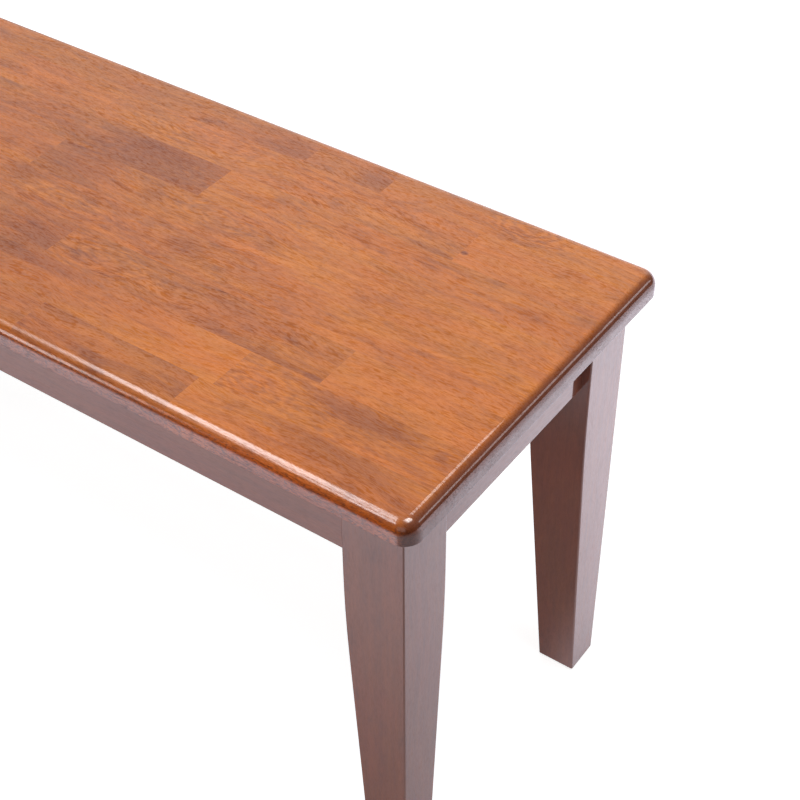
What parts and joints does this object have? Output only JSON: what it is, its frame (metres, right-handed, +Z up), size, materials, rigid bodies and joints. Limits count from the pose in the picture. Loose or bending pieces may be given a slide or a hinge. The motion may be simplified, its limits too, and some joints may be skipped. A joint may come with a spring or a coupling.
{
  "type": "backless dining bench",
  "caption": "Backless wooden dining bench: glued-up stave seat with a rounded edge on a four-leg frame with set-back aprons and legs tapered on their inner faces.",
  "frame": {"origin": "on the floor, under the middle of the seat", "axes": "+X along the seat to the right as seen from the front, +Y from the front to the back, +Z up"},
  "size_m": [0.99, 0.354, 0.457],
  "materials": {
    "seat_wood": "stained orange-brown, clear gloss lacquer",
    "frame_wood": "stained brown, clear gloss lacquer",
    "block_wood": "planed, unstained",
    "fastener_steel": "zinc plated"
  },
  "bodies": {
    "root": {"back_apron": "frame_wood", "back_left_corner_block": "block_wood", "back_left_leg": "frame_wood", "back_right_corner_block": "block_wood", "back_right_leg": "frame_wood", "block_screws": "fastener_steel", "bolt_nuts": "fastener_steel", "bolt_washers": "fastener_steel", "cross_rail": "block_wood", "front_apron": "frame_wood", "front_left_corner_block": "block_wood", "front_left_leg": "frame_wood", "front_right_corner_block": "block_wood", "front_right_leg": "frame_wood", "hanger_bolts": "fastener_steel", "left_apron": "frame_wood", "rail_screws": "fastener_steel", "right_apron": "frame_wood", "seat_pocket_screws": "fastener_steel", "seat_row_1_stave_1": "seat_wood", "seat_row_1_stave_2": "seat_wood", "seat_row_1_stave_3": "seat_wood", "seat_row_1_stave_4": "seat_wood", "seat_row_2_stave_1": "seat_wood", "seat_row_2_stave_2": "seat_wood", "seat_row_2_stave_3": "seat_wood", "seat_row_2_stave_4": "seat_wood", "seat_row_3_stave_1": "seat_wood", "seat_row_3_stave_2": "seat_wood", "seat_row_3_stave_3": "seat_wood", "seat_row_3_stave_4": "seat_wood", "seat_row_4_stave_1": "seat_wood", "seat_row_4_stave_2": "seat_wood", "seat_row_4_stave_3": "seat_wood", "seat_row_5_stave_1": "seat_wood", "seat_row_5_stave_2": "seat_wood", "seat_row_5_stave_3": "seat_wood", "seat_row_5_stave_4": "seat_wood", "seat_row_6_stave_1": "seat_wood", "seat_row_6_stave_2": "seat_wood", "seat_row_6_stave_3": "seat_wood", "seat_row_7_stave_1": "seat_wood", "seat_row_7_stave_2": "seat_wood", "seat_row_7_stave_3": "seat_wood", "seat_row_7_stave_4": "seat_wood", "seat_row_8_stave_1": "seat_wood", "seat_row_8_stave_2": "seat_wood", "seat_row_8_stave_3": "seat_wood", "seat_row_8_stave_4": "seat_wood"}
  },
  "joints": []
}
